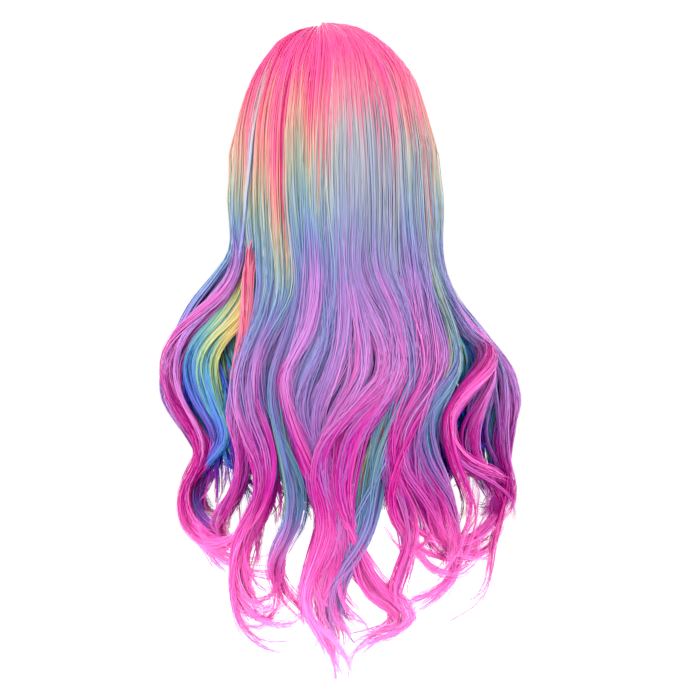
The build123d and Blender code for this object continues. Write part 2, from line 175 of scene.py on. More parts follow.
LOCKS = (
    drawn(69, 0, (0, -0.05, -0.03, 0.08, 0.08, 0.08, 0.06, 0.03),
        (100, -60), (97, -112), (108, -140), (131, -162), (151, -181), (164, -201), (170, -223),
        (166, -246), (154, -266), (142, -283), (133, -300), (134, -314), (144, -329), (151, -346),
        (152, -366), (146, -384), (130, -396), (112, -402), (97, -407), (86, -402)),
    drawn(57, 7, (-0.02, -0.08, -0.05, -0.1, -0.08, 0.03, 0.02, 0),
        (88, -60), (86, -112), (84, -150), (87, -185), (93, -215), (101, -242), (104, -268), (97, -295),
        (94, -318), (101, -340), (113, -358), (121, -377), (112, -394), (92, -400)),
    drawn(45, 1, (0, -0.11, -0.08, -0.14, -0.09, -0.02, 0, 0),
        (71, -60), (69, -112), (66, -142), (72, -172), (84, -200), (93, -228), (91, -258), (81, -290),
        (72, -315), (69, -337), (77, -360), (88, -385), (96, -410), (99, -440), (95, -468), (80, -489),
        (56, -498), (34, -501)),
    drawn(31, 1, (-0.08, -0.22, -0.24, -0.2, -0.05, -0.03, -0.02, 0),
        (51, -60), (49, -112), (48, -142), (55, -165), (66, -190), (74, -214), (77, -238), (78, -262),
        (72, -290), (70, -318), (74, -345), (82, -368), (88, -392), (88, -418), (80, -442), (62, -452)),
    drawn(22, 7, (0.02, 0.02, -0.01, -0.03, -0.1, -0.33, -0.36, -0.08),
        (37, -60), (34, -115), (36, -145), (44, -176), (52, -200), (60, -222), (62, -246), (57, -272),
        (50, -300), (44, -325), (40, -345), (44, -370), (56, -392), (62, -412), (56, -436), (40, -452),
        (28, -468)),
    drawn(11, 0, (-0.04, -0.03, -0.01, 0.06, 0, 0.05, 0.02, 0.04),
        (20, -60), (17, -115), (19, -150), (26, -182), (38, -206), (47, -230), (42, -260), (31, -290),
        (18, -320), (7, -350), (4, -375), (12, -400), (22, -425), (26, -442), (19, -462), (0, -485),
        (-12, -505), (-14, -529)),
    drawn(3, 4, (0.01, -0.01, -0.01, -0.02, -0.1, -0.12, -0.15, 0),
        (6, -60), (4, -120), (6, -160), (12, -190), (24, -220), (32, -250), (28, -275), (16, -300),
        (4, -330), (-4, -360), (-5, -385), (4, -405), (18, -430), (22, -452), (12, -470)),
    drawn(-5, 4, (0.04, 0.01, 0, 0, -0.02, -0.1, -0.16, 0),
        (-8, -60), (-11, -120), (-11, -160), (-6, -195), (4, -225), (16, -255), (16, -280), (9, -305),
        (0, -335), (-8, -362), (-6, -392), (1, -425), (-3, -452), (-18, -474), (-16, -494)),
    drawn(-9, 2, (0.05, 0.01, 0, 0.02, 0.03, -0.02, -0.14, -0.02),
        (-16, -60), (-16, -120), (-23, -160), (-28, -195), (-25, -225), (-9, -255), (5, -280), (11, -305),
        (8, -335), (0, -362), (-6, -392), (-2, -420), (-6, -446), (-18, -462), (-34, -466)),
    drawn(-13, 0, (0.06, 0.02, 0, 0, 0.03, 0, 0, 0.03),
        (-24, -60), (-21, -120), (-36, -160), (-51, -195), (-49, -225), (-26, -250), (-1, -275), (12, -300),
        (14, -330), (6, -360), (11, -388), (20, -412), (12, -440), (0, -456)),
    drawn(-22, 1, (0.05, 0.04, 0, 0.02, 0.04, 0.02, 0, 0.03),
        (-40, -60), (-41, -120), (-58, -160), (-66, -195), (-61, -225), (-41, -255), (-21, -280),
        (-11, -310), (-6, -340), (-12, -370), (-24, -400), (-40, -428), (-62, -446), (-75, -456),
        (-64, -471), (-40, -477), (-18, -490), (-12, -506)),
    drawn(-32, 3, (0.04, 0.02, -0.01, -0.02, -0.04, -0.35, -0.34, -0.27),
        (-55, -60), (-57, -120), (-70, -150), (-76, -190), (-72, -225), (-60, -255), (-48, -285),
        (-40, -312), (-34, -340), (-30, -365), (-20, -392), (-6, -415), (0, -440), (-2, -462), (-14, -484),
        (-18, -500)),
    drawn(-42, 2, (0.03, 0.02, 0, 0.03, 0.02, 0.02, -0.05, 0.03),
        (-70, -60), (-76, -125), (-84, -160), (-91, -195), (-86, -225), (-69, -255), (-58, -280),
        (-54, -305), (-61, -330), (-71, -355), (-75, -385), (-66, -415), (-60, -440), (-70, -460),
        (-84, -452)),
    drawn(-52, 0, (0.03, 0.01, -0.03, -0.06, 0.02, -0.05, -0.02, 0.04),
        (-84, -60), (-91, -125), (-98, -160), (-106, -195), (-104, -220), (-91, -245), (-78, -270),
        (-74, -295), (-78, -320), (-91, -345), (-101, -375), (-116, -395), (-141, -402), (-163, -397),
        (-170, -380), (-158, -364)),
    drawn(-61, -2, (0.02, -0.02, -0.1, -0.2, -0.25, -0.16, -0.05, 0),
        (-94, -60), (-98, -115), (-106, -150), (-116, -190), (-116, -215), (-106, -235), (-94, -255),
        (-88, -280), (-92, -305), (-104, -330), (-112, -355), (-116, -385), (-108, -412), (-92, -432)),
    drawn(-69, -2, (0, -0.03, -0.05, -0.13, 0.13, 0.08, 0.05, 0.03),
        (-100, -60), (-102, -110), (-114, -147), (-130, -173), (-146, -186), (-154, -201), (-146, -218),
        (-130, -234), (-117, -250), (-111, -266), (-113, -283), (-120, -298), (-134, -311), (-152, -318),
        (-168, -324), (-178, -334), (-183, -347), (-176, -357)),
    drawn(-75, 4, (0, -0.02, -0.04, -0.06, -0.04, 0, 0, 0.02),
        (-104, -60), (-105, -105), (-114, -140), (-134, -172), (-154, -198), (-158, -225), (-150, -250),
        (-142, -275), (-144, -300), (-156, -322), (-168, -343), (-170, -362), (-158, -380)),
    drawn(-81, 1, (0, -0.02, -0.06, -0.08, -0.05, -0.06, 0.02, 0.02),
        (-107, -60), (-106, -100), (-113, -130), (-126, -154), (-146, -178), (-161, -201), (-169, -225),
        (-170, -250), (-168, -280), (-172, -306), (-179, -330), (-176, -352), (-160, -364)),
)
# Locks that stand apart from the sheet of hair above: deep ones seen through the gaps between the waves,
# and thin ones at the outline. spread is the half-width of one in millimetres. One with under lies hidden
# that far down. across changes the dye from side to side, and cool its tone. light is painted light and
# shade: below brow level it makes the lock lighter where it lies in shade, or darker below 1. vivid gives it
# the dye of the hair underneath. ends and shortest say where its strands end, as in strands_in_locks.
LONE_LOCKS = (
    drawn(76, 8, (-0.05, -0.15, -0.25, -0.31, -0.225, -0.18, -0.13, 0),
        (98, -60), (94, -110), (94, -140), (110, -168), (130, -190), (141, -210), (142, -230), (134, -254),
        (123, -275), (119, -291), (127, -306), (139, -320), (148, -338), (150, -356), (142, -374),
        (124, -386), spread=26, under=100, across=0.08, light=1.12, vivid=True),
    drawn(58, 0, (0, 0, -0.3, -0.43, -0.5, -0.45, -0.2, 0),
        (86, -60), (85, -100), (85, -130), (86, -160), (89, -190), (94, -215), (98, -240), (99, -262),
        (94, -290), (90, -315), spread=10, under=84, ends=0.8, shortest=0.6, cool=1.0, light=0.96),
    drawn(88, 1, (0, -0.05, -0.08, -0.12, -0.04, 0, 0, 0),
        (104, -60), (105, -98), (121, -125), (140, -150), (154, -175), (165, -200), (171, -225),
        (168, -250), (156, -272), (142, -292), (139, -312), (147, -332), (154, -352), (152, -372),
        (140, -388), (122, -398), (106, -402), spread=10, light=1.2),
    drawn(-86, 9, (0, 0, -0.05, -0.1, -0.22, -0.3, -0.12, 0),
        (-108, -60), (-107, -100), (-122, -140), (-142, -180), (-156, -210), (-162, -238), (-166, -262),
        (-170, -290), (-172, -312), (-177, -335), (-172, -360), (-152, -380), (-131, -398), (-126, -420),
        (-106, -440), (-82, -452), spread=8),
    drawn(-92, 0, (0, 0, 0, 0, -0.02, -0.04, 0, 0),
        (-108, -60), (-108, -100), (-114, -128), (-127, -151), (-146, -173), (-163, -194), (-175, -214),
        (-182, -236), (-184, -256), (-181, -278), (-177, -300), (-175, -325), (-170, -352), (-162, -385),
        (-157, -412), (-150, -432), (-131, -448), (-105, -455), spread=4),
    drawn(52, 0, (0.12, 0.1, 0.04, 0, 0, 0, 0, 0),
        (88, -60), (93, -100), (103, -130), (124, -158), (145, -181), (157, -205), (160, -230), (152, -255),
        (140, -276), (131, -298), (135, -318), (146, -340), (147, -362), (136, -380), (116, -392), spread=2,
        cool=0.8, light=1.28),
    drawn(-54, -1, (0, 0, 0, 0, 0, 0.04, 0.02, 0.04),
        (-86, -60), (-92, -125), (-99, -165), (-105, -200), (-99, -230), (-85, -258), (-72, -285),
        (-61, -312), (-55, -342), (-62, -368), (-78, -388), (-96, -399), (-114, -404), (-142, -404),
        (-163, -391), (-168, -372), spread=2),
    drawn(-44, -1, (0, 0, 0, 0, 0, 0.04, 0.02, 0.04),
        (-72, -60), (-79, -125), (-87, -165), (-94, -200), (-88, -230), (-72, -258), (-62, -285),
        (-58, -312), (-62, -338), (-74, -366), (-99, -384), (-132, -388), (-160, -372), (-178, -352),
        (-181, -334), spread=2),
    drawn(71, -1, (0, 0, 0, 0.06, 0.08, 0.06, 0.04, 0.03),
        (101, -60), (99, -112), (110, -140), (133, -162), (153, -181), (166, -201), (171, -223),
        (166, -246), (154, -266), (142, -283), (134, -300), (137, -318), (148, -334), (153, -352),
        (149, -377), (133, -396), (104, -411), (66, -419), (38, -406), spread=2),
    drawn(36, -1, (-0.08, -0.22, -0.24, -0.18, -0.04, 0.02, 0.02, 0.03),
        (57, -60), (55, -112), (53, -142), (60, -168), (71, -194), (78, -220), (77, -246), (68, -276),
        (60, -306), (62, -336), (74, -362), (90, -384), (99, -408), (97, -434), (84, -456), (60, -468),
        (36, -462), (24, -446), spread=2),
    drawn(48, 0, (0, -0.06, -0.06, -0.08, -0.06, 0.02, 0.04, 0.04),
        (76, -60), (74, -112), (72, -142), (78, -176), (89, -210), (97, -240), (95, -268), (87, -295),
        (77, -320), (75, -345), (82, -368), (98, -385), (116, -396), (130, -391), (134, -376), spread=3),
    drawn(-49, -1, (0, 0, 0, 0, 0, 0.04, 0.02, 0.04),
        (-79, -60), (-85, -125), (-92, -165), (-99, -200), (-95, -228), (-79, -258), (-66, -285),
        (-60, -312), (-64, -340), (-72, -366), (-84, -394), (-102, -414), (-124, -421), (-140, -411),
        (-146, -394), (-140, -378), spread=3),
)
# How far inside the outline the hidden part of such a lock lies.
HIDDEN_DEPTH = 16.0
# Hair from the front of the head, swept back over the shoulders: angle on the head of each lock, and the
# angle that the first of them comes back to. Its waves start at one distance down and shorten from there.
SWEPT_ROOTS = (92.0, 101.0, 110.0, 120.0, 129.0)
SWEPT_BACK_TO = 82.0
SWEPT_LENGTH = 415.0
SWEPT_DYE = (0, 0, -0.02, -0.04, -0.03, -0.02, 0, 0)
SWEPT_WAVES_FROM = 150.0
SWEPT_SAMPLES = 200
WAVE_SWING = 34.0
CURL_SWING = 70.0

# Samples along a lock below and above brow level, and between two points of its path.
PATH_STEPS = 38
DOME_STEPS = 13
SPLINE_STEPS = 12
# The largest share of the outline's half-width that is turned into an angle. Roots further forward than
# EDGE_ROOT keep their own angle near brow level.
STEEPEST_SIDE = 0.985
EDGE_ROOT = 85.0
WAVE_DEPTH = 5.0


def spline_through(points, samples):
    """Catmull-Rom curve through given points, sampled evenly along its length."""
    points = np.array(points, float)
    padded = np.vstack([2 * points[0] - points[1], points, 2 * points[-1] - points[-2]])
    t = np.linspace(0, 1, SPLINE_STEPS, endpoint=False)[:, None]
    spans = []
    for i in range(len(points) - 1):
        a, b, c, d = padded[i:i + 4]
        spans.append(0.5 * (2 * b + (c - a) * t + (2 * a - 5 * b + 4 * c - d) * t ** 2
                            + (3 * b - a - 3 * c + d) * t ** 3))
    curve = np.vstack(spans + [points[-1:]])
    return even_steps(curve, samples)


def even_steps(curve, samples):
    """The same curve, sampled evenly along its length."""
    run = np.concatenate([[0], np.cumsum(np.linalg.norm(np.diff(curve, axis=0), axis=1))])
    wanted = np.linspace(0, run[-1], samples)
    return np.stack([np.interp(wanted, run, curve[:, i]) for i in range(curve.shape[1])], axis=-1)


def lock_path(lock):
    """A leading lock as rows of (angle, z, outwards), from brow level to its tip."""
    start = DOME_OUTSIDE[0] * np.sin(np.radians(lock["root"]))
    curve = spline_through(((start, 0),) + lock["path"], PATH_STEPS)
    x, z = curve[:, 0], np.minimum(curve[:, 1], 0)
    width = np.where(x > 0, at_level(LEFT_CURVE, z), at_level(RIGHT_CURVE, z))
    share = np.clip(np.abs(x) / width, 0, STEEPEST_SIDE)
    angle = np.degrees(np.arcsin(share)) * np.sign(x)
    beyond = np.clip(np.abs(x) / STEEPEST_SIDE - width, 0, None)
    along_x = np.gradient(x) / np.maximum(np.hypot(np.gradient(x), np.gradient(z)), 1e-6)
    wave_depth = WAVE_DEPTH * along_x * smooth_step(100, 200, -z)
    if abs(lock["root"]) > EDGE_ROOT:
        angle = angle + (lock["root"] - angle) * (1 - smooth_step(0, 100, -z))
    inside = lock["depth"] * (0.25 + 0.75 * smooth_step(50, 150, -z))
    return np.stack([angle, z, beyond + wave_depth - inside], axis=-1)


def swept_path(root, phase):
    """Hair from the front of the head: it hangs at the outline, in front of the locks that arch there."""
    side, front = np.sign(root), abs(root)
    run = np.linspace(0, SWEPT_LENGTH, SWEPT_SAMPLES)
    swing = WAVE_SWING * smooth_step(120, 250, run) + CURL_SWING * smooth_step(320, 410, run)
    waving = run - SWEPT_WAVES_FROM
    wave_length = 150 - 0.12 * run
    heading = np.radians(swing) * np.sin(2 * pi * waving / wave_length + phase)
    step = run[1] - run[0]
    z = -np.cumsum(np.cos(heading)) * step
    z = z - z[0]
    aside = np.cumsum(np.sin(heading)) * step
    back = SWEPT_BACK_TO + (front - SWEPT_ROOTS[0]) * 0.34
    angle = front + (back - front) * smooth_step(30, 190, -z) + np.degrees(aside / 160)
    outwards = -4.0 + 3.0 * np.cos(2 * pi * waving / 130 + phase) * smooth_step(120, 240, run)
    outwards = outwards - 22 * smooth_step(350, 415, run)
    # in the spacing of the samples a degree counts as 2 mm
    return even_steps(np.stack([side * angle * 2, z, outwards], axis=-1), PATH_STEPS) * (0.5, 1, 1)


# ---- dye: the colours along a fibre
# How far a fibre has faded at each distance from its root, in millimetres.
FADE = (
    (0, 0.0), (70, 0.06), (102, 0.11), (119, 0.155), (132, 0.19), (150, 0.235), (166, 0.28), (180, 0.325),
    (195, 0.36), (210, 0.385), (225, 0.415), (240, 0.445), (255, 0.48), (270, 0.52), (290, 0.57), (310, 0.61),
    (330, 0.645), (400, 0.72), (480, 0.79), (540, 0.85), (610, 0.92), (690, 1.0),
)
# The colours at these places on that fade: (red, green, blue), as seen on a screen. Here and in the two
# dyes below, the deep magenta at 0.81 and 0.87 is partly the dye and partly painted shade. The pale colours
# from 0.93 on are partly the dye and partly painted light, as thin ends with light through them.
DYE_PLACES = (
    0.00, 0.10, 0.17, 0.22, 0.27, 0.32, 0.37, 0.42, 0.47, 0.52, 0.57, 0.63, 0.69, 0.75, 0.81, 0.87, 0.93,
    1.00,
)
DYE = (
    (244, 74, 154), (246, 82, 154), (244, 106, 148), (238, 136, 144), (228, 158, 146), (212, 174, 150),
    (182, 182, 156), (148, 176, 168), (126, 162, 190), (120, 146, 198), (136, 130, 194), (162, 124, 196),
    (196, 130, 206), (218, 116, 200), (214, 78, 176), (234, 78, 180), (252, 118, 208), (255, 160, 232),
)
# The same fade on hair whose pink was bleached less: it passes through mauve and grey instead of khaki.
COOL_DYE = (
    (244, 74, 154), (242, 82, 154), (238, 106, 152), (226, 128, 154), (208, 144, 162), (192, 156, 172),
    (180, 166, 178), (168, 170, 180), (154, 160, 184), (142, 148, 188), (144, 136, 190),
) + DYE[11:]
# And on the hair underneath, which the light has never bleached.
RICH_DYE = (
    (232, 40, 132), (236, 52, 132), (238, 84, 120), (236, 118, 106), (232, 150, 104), (218, 180, 108),
    (184, 190, 112), (128, 176, 136), (86, 158, 176), (76, 138, 212), (84, 118, 214), (104, 96, 200),
    (138, 90, 196), (172, 84, 190), (200, 64, 170), (226, 74, 174), (244, 110, 200), (250, 150, 224),
)


def fade_at(run):
    """The fade at a distance from the root."""
    rows = np.array(FADE)
    return np.interp(run, rows[:, 0], rows[:, 1])


def linear(value):
    """A screen's 0 to 255 as the share of light that it stands for."""
    value = value / 255.0
    return value / 12.92 if value <= 0.04045 else ((value + 0.055) / 1.055) ** 2.4


# ---- strands
def unit(vectors):
    return vectors / np.maximum(np.linalg.norm(vectors, axis=-1, keepdims=True), 1e-9)


def outward_of(points):
    """The way out of the hair at each point: off the ellipsoid above brow level, level below it."""
    scaled = points / np.square(DOME_OUTSIDE)
    scaled = scaled - np.array([0, 0, 1]) * np.clip(scaled[..., 2:3], None, 0)
    return unit(scaled)


def wander(count, steps, low=1.0, high=3.0):
    """Smooth random curves, one a row, about one unit high and starting from nothing."""
    t = np.linspace(0, 1, steps)[None, :]
    curve = np.zeros((count, steps))
    for _ in range(3):
        beat = RNG.uniform(low, high, (count, 1))
        curve += np.sin(2 * pi * (beat * t + RNG.uniform(0, 1, (count, 1)))) / 1.7
    return curve * smooth_step(0, 0.35, t)


class Hair:
    """Strands of one body of hair, kept as arrays until their mesh is made."""

    def __init__(self, points, thickness, fade, light, cool):
        self.points = points
        self.thickness = thickness
        self.fade = fade
        self.light = light
        self.cool = cool

    def take(self, rows):
        arrays = (self.points, self.thickness, self.fade, self.light, self.cool)
        return Hair(*(values[rows] for values in arrays))


# The place of the khaki part on the fade, and how strands scatter about their lock.
KHAKI = 0.32
TURN_ALONG = 0.8
STRAY_ACROSS = 0.9
STRAY_WITHIN = 0.4
END_FLARE = 0.9
DYE_SCATTER = 0.028
LIGHTEST = 1.14
DARKEST = 0.86


def strands_in_locks(centres, fade, counts, radii, depths, thickness, light=1.0,
                     shortest=0.82, ends=1.0, mix=0.0, cool=0.0):
    """Fill each lock, a row of centre points, with strands that lie, turn and end on their own.

    counts, ends and mix are one number or one a lock; fade, radii, depths, light and cool also change along
    it. A strand ends after at least the share shortest of its lock. mix is how far a lock's strands skip the
    khaki part of the fade, each at its own height, and cool how far they take the cooler dye.
    """
    locks, steps = centres.shape[:2]
    fade, radii, depths, light, cool = (
        np.broadcast_to(values, (locks, steps)) for values in (fade, radii, depths, light, cool))
    owner = np.repeat(np.arange(locks), counts)
    total = len(owner)
    t = np.linspace(0, 1, steps)[None, :]
    along = unit(np.gradient(centres, axis=1))
    out = outward_of(centres)
    aside = unit(np.cross(along, out))
    out = np.cross(aside, along)
    reach = np.sqrt(RNG.uniform(0, 1, (total, 1)))
    turn = 2 * pi * (RNG.uniform(0, 1, (total, 1)) + TURN_ALONG * RNG.uniform(-0.6, 1, (total, 1)) * t ** 1.5)
    across = reach * np.cos(turn) * radii[owner] + STRAY_ACROSS * wander(total, steps)
    within = reach * np.sin(turn) * depths[owner] + STRAY_WITHIN * wander(total, steps, 1.5, 3.5)
    flare = RNG.normal(0, 1, (total, 2, 1)) * (END_FLARE * smooth_step(0.7, 1.0, t))[:, None, :]
    across = across + flare[:, 0]
    within = within + 0.7 * flare[:, 1]
    points = centres[owner] + aside[owner] * across[..., None] + out[owner] * within[..., None]
    mixed = np.broadcast_to(mix, locks)[owner][:, None]
    calm = 1 - 0.55 * smooth_step(0.5, 0.66, fade[owner])
    scatter = calm * RNG.normal(0, DYE_SCATTER, (total, 1)) * (1 + 0.9 * mixed)
    fade = fade[owner] + scatter + 0.012 * wander(total, steps)
    from_khaki = fade - KHAKI
    fade = fade + 0.085 * mixed * np.tanh(from_khaki / 0.02) * np.exp(-(from_khaki / 0.13) ** 2)
    # each strand's own tone, and painted shade: strands on the outer side of their lock a little lighter
    light = light[owner] * RNG.uniform(DARKEST, LIGHTEST, (total, 1)) * (1 + 0.05 * reach * np.sin(turn))
    # each strand stops at its own length
    share = (1 - (1 - shortest) * RNG.uniform(0, 1, total) ** 1.6) * np.broadcast_to(ends, locks)[owner]
    at = share[:, None] * np.arange(steps)[None, :]
    low = np.minimum(at.astype(int), steps - 2)
    rest = (at - low)[..., None]
    rows = np.arange(total)[:, None]
    points = points[rows, low] * (1 - rest) + points[rows, low + 1] * rest
    fade = fade[rows, low] * (1 - rest[..., 0]) + fade[rows, low + 1] * rest[..., 0]
    light = light[rows, low]
    cool = np.clip(cool[owner] + RNG.normal(0, 0.15, (total, 1)), 0, 1)
    width = thickness * RNG.uniform(0.75, 1.25, (total, 1)) * np.ones((1, steps))
    width = width * (0.55 + 0.45 * smooth_step(0, 0.06, t)) * (1 - 0.55 * smooth_step(0.85, 1.0, t))
    return Hair(points, width, fade, light, cool)


# A strand's cross-section, in half-widths: to the side and outwards.
STRAND_SECTION = ((-1, -0.35), (0, 0.4), (1, -0.35))
MOST_FACES = 186000


def hair_mesh(name, hair):
    """Strands with a ridge along their middle, and their own bake layout: a column each, in two rows."""
    points, width = hair.points, hair.thickness
    count, steps = width.shape
    along = unit(np.gradient(points, axis=1))
    out = outward_of(points)
    lean = RNG.normal(0, 0.5, (count, 1, 1))
    aside = unit(np.cross(along, out))
    out = np.cross(aside, along)
    aside, out = aside + lean * out, out - lean * aside
    corners = [points + width[..., None] * (a * aside + b * out) for a, b in STRAND_SECTION]
    vertices = np.stack(corners, axis=2).reshape(-1, 3) * MM
    first = (np.arange(count)[:, None] * steps + np.arange(steps - 1)[None, :]) * 3
    faces = [np.stack([first + c, first + 3 + c, first + 4 + c, first + 1 + c], axis=-1) for c in (0, 1)]
    quads = np.stack(faces, axis=2).reshape(-1, 4)
    mesh = bpy.data.meshes.new(name)
    mesh.vertices.add(len(vertices))
    mesh.vertices.foreach_set("co", vertices.ravel())
    loops = quads.ravel().astype(np.int32)
    mesh.loops.add(len(loops))
    mesh.loops.foreach_set("vertex_index", loops)
    mesh.polygons.add(len(quads))
    mesh.polygons.foreach_set("loop_start", (np.arange(len(quads)) * 4).astype(np.int32))
    mesh.polygons.foreach_set("use_smooth", np.ones(len(quads), bool))
    mesh.update(calc_edges=True)
    for label, values in (("fade", hair.fade), ("light", hair.light), ("cool", hair.cool)):
        attribute = mesh.attributes.new(label, "FLOAT", "POINT")
        attribute.data.foreach_set("value", np.repeat(values.ravel(), 3).astype(np.float32))
    columns = (count + 1) // 2
    owner, step, side = loops // (steps * 3), (loops // 3) % steps, (loops % 3) / 2.0
    u = (owner % columns + 0.2 + 0.6 * side) / columns
    v = 0.5 * (owner // columns) + 0.01 + 0.48 * step / (steps - 1)
    layer = mesh.uv_layers.new(name="OFBake")
    layer.data.foreach_set("uv", np.stack([u, v], -1).ravel().astype(np.float32))
    obj = bpy.data.objects.new(name, mesh)
    bpy.context.scene.collection.objects.link(obj)
    return obj


def hair_pieces(name, hair, node, material):
    """Make one body of hair, in as many pieces as its number of faces asks for."""
    count, steps = hair.thickness.shape
    per_piece = MOST_FACES // ((steps - 1) * 4)
    number = -(-count // per_piece)
    for index in range(number):
        part = hair.take(slice(index * count // number, (index + 1) * count // number))
        piece = hair_mesh(name if number == 1 else f"{name}_{index + 1}", part)
        piece.data.materials.append(material)
        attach(piece, "cap")
        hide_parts(node)


# ---- materials
# In metres: radius of the head, for threads that lie over it, and heights of threads and of grain.
HEAD_RADIUS = 0.08
THREAD_RELIEF = 0.0003
GRAIN_RELIEF = 0.00004


def new_material(name):
    material = bpy.data.materials.new(name)
    material.use_nodes = True
    tree = material.node_tree
    return material, tree.nodes, tree.links, tree.nodes["Principled BSDF"]


def value_along_hair(nodes, label):
    node = nodes.new("ShaderNodeAttribute")
    node.attribute_name = label
    return node.outputs["Fac"]


def mapped(nodes, links, value, given, wanted):
    """A value carried from one range (low, high) to another."""
    node = nodes.new("ShaderNodeMapRange")
    for socket, limit in zip(("From Min", "From Max", "To Min", "To Max"), (*given, *wanted)):
        node.inputs[socket].default_value = limit
    links.new(value, node.inputs["Value"])
    return node.outputs["Result"]


def two_tone(nodes, links, shader, share, low, high, relief):
    """Colour and bump that follow share, from the colour low at 0 to the colour high at 1."""
    blend = nodes.new("ShaderNodeMix")
    blend.data_type = "RGBA"
    blend.inputs["A"].default_value = (*low, 1)
    blend.inputs["B"].default_value = (*high, 1)
    links.new(share, blend.inputs["Factor"])
    links.new(blend.outputs["Result"], shader.inputs["Base Color"])
    bump = nodes.new("ShaderNodeBump")
    bump.inputs["Distance"].default_value = relief
    links.new(share, bump.inputs["Height"])
    links.new(bump.outputs["Normal"], shader.inputs["Normal"])


def hair_material(name, warm, cool):
    """Dyed hair coloured by its fade and cool dye, and by light: each strand's tone with painted light and
    shade.
    """
    material, nodes, links, shader = new_material(name)
    fade = value_along_hair(nodes, "fade")
    blend = nodes.new("ShaderNodeMix")
    blend.data_type = "RGBA"
    for socket, dye in (("A", warm), ("B", cool)):
        ramp = nodes.new("ShaderNodeValToRGB")
        links.new(fade, ramp.inputs["Fac"])
        stops = ramp.color_ramp.elements
        while len(stops) < len(dye):
            stops.new(0.5)
        for stop, place, colour in zip(stops, DYE_PLACES, dye):
            stop.position = place
            stop.color = (*[linear(channel) for channel in colour], 1)
        links.new(ramp.outputs["Color"], blend.inputs[socket])
    links.new(value_along_hair(nodes, "cool"), blend.inputs["Factor"])
    tone = nodes.new("ShaderNodeHueSaturation")
    links.new(blend.outputs["Result"], tone.inputs["Color"])
    # painted shade: light darkens the colour, and makes it more saturated where it is low, as hair in shade
    # looks
    light = value_along_hair(nodes, "light")
    links.new(light, tone.inputs["Value"])
    links.new(mapped(nodes, links, light, (0.6, 1.0), (1.5, 1.0)), tone.inputs["Saturation"])
    links.new(tone.outputs["Color"], shader.inputs["Base Color"])
    links.new(mapped(nodes, links, light, (0.6, 1.1), (0.46, 0.35)), shader.inputs["Roughness"])
    shader.inputs["Specular IOR Level"].default_value = 0.35
    return material


def calculated(nodes, links, operation, *values):
    """A math node's result, from sockets or plain numbers."""
    node = nodes.new("ShaderNodeMath")
    node.operation = operation
    for socket, value in zip(node.inputs, values):
        if isinstance(value, float):
            socket.default_value = value
        else:
            links.new(value, socket)
    return node.outputs["Value"]


def axes_of(nodes, links, place):
    apart = nodes.new("ShaderNodeSeparateXYZ")
    links.new(place, apart.inputs["Vector"])
    return apart.outputs


def bands(nodes, links, place, axis, width, share):
    """1 on a band that repeats every width along an axis and fills that share of it, else 0."""
    wrapped = calculated(nodes, links, "PINGPONG", axes_of(nodes, links, place)[axis], width / 2)
    return calculated(nodes, links, "LESS_THAN", wrapped, width * share / 2)


def turned(nodes, links, place, turn):
    spin = nodes.new("ShaderNodeMapping")
    spin.inputs["Rotation"].default_value = turn
    links.new(place, spin.inputs["Vector"])
    return spin.outputs["Vector"]


def over_head(nodes, links, place):
    """Angles that lie over the head: round the line through both ears, and towards one of them."""
    direction = nodes.new("ShaderNodeVectorMath")
    direction.operation = "NORMALIZE"
    links.new(place, direction.inputs[0])
    axes = axes_of(nodes, links, direction.outputs["Vector"])
    joined = nodes.new("ShaderNodeCombineXYZ")
    links.new(calculated(nodes, links, "ARCTAN2", axes["Y"], axes["Z"]), joined.inputs["X"])
    links.new(calculated(nodes, links, "ARCSINE", axes["X"]), joined.inputs["Z"])
    return joined.outputs["Vector"]


def woven_material(name, thread, gap, pitch, share=0.6, turn=(0.5, 0.6, 0.78), roughness=0.85):
    """Cloth of crossed threads: gap is the colour seen between them, pitch their spacing in metres.

    share is how much of it a thread fills. Without a turn the threads run slantwise over the head.
    """
    material, nodes, links, shader = new_material(name)
    place = nodes.new("ShaderNodeTexCoord").outputs["Object"]
    if turn is None:
        pitch = pitch / HEAD_RADIUS
        place = turned(nodes, links, over_head(nodes, links, place), (0, pi / 4, 0))
    else:
        place = turned(nodes, links, place, turn)
    one = bands(nodes, links, place, "X", pitch, share)
    other = bands(nodes, links, place, "Z", pitch, share)
    both = calculated(nodes, links, "MAXIMUM", one, other)
    two_tone(nodes, links, shader, both, gap, thread, THREAD_RELIEF)
    shader.inputs["Roughness"].default_value = roughness
    return material


def moulded_material(name, one, other, grain, smoothest, roughest):
    """A hard, faintly mottled surface with a fine grain; grain is the number of grains in a metre."""
    material, nodes, links, shader = new_material(name)
    mottle = nodes.new("ShaderNodeTexNoise")
    mottle.inputs["Scale"].default_value = grain
    links.new(nodes.new("ShaderNodeTexCoord").outputs["Object"], mottle.inputs["Vector"])
    two_tone(nodes, links, shader, mottle.outputs["Fac"], one, other, GRAIN_RELIEF)
    gloss = mapped(nodes, links, mottle.outputs["Fac"], (0.3, 0.7), (smoothest, roughest))
    links.new(gloss, shader.inputs["Roughness"])
    return material


# ---- crown hair
# Lengths over the dome to brow level: of the hair, and of the part that its groove fades out over.
DOME_RUN = 190.0
DOME_ARC = 170.0
# Locks rooted beyond the first of these angles come off the parting, whose front end is at FRONT_END.
PARTED = (38, 92)
FRONT_END = 178.6
SHEET_LOCKS = 600
SHEET_DEPTH = 11.0
STRANDS_IN_LOCK = 17
LOCK_STEPS = DOME_STEPS - 1 + PATH_STEPS
# How much earlier the dye of a lock between two leaders runs at each of DYE_LEVELS.
ASTRAY_DYE = (0, 0, 0.3, 1, 1, 1, 0.8, 0.4)
ROOT_RADIUS = 103.0
SIDE_FROM = 45
FRONT_FROM = 87
SECTORS = (("back", 0, SIDE_FROM), ("side", SIDE_FROM, FRONT_FROM), ("front", FRONT_FROM, 180))


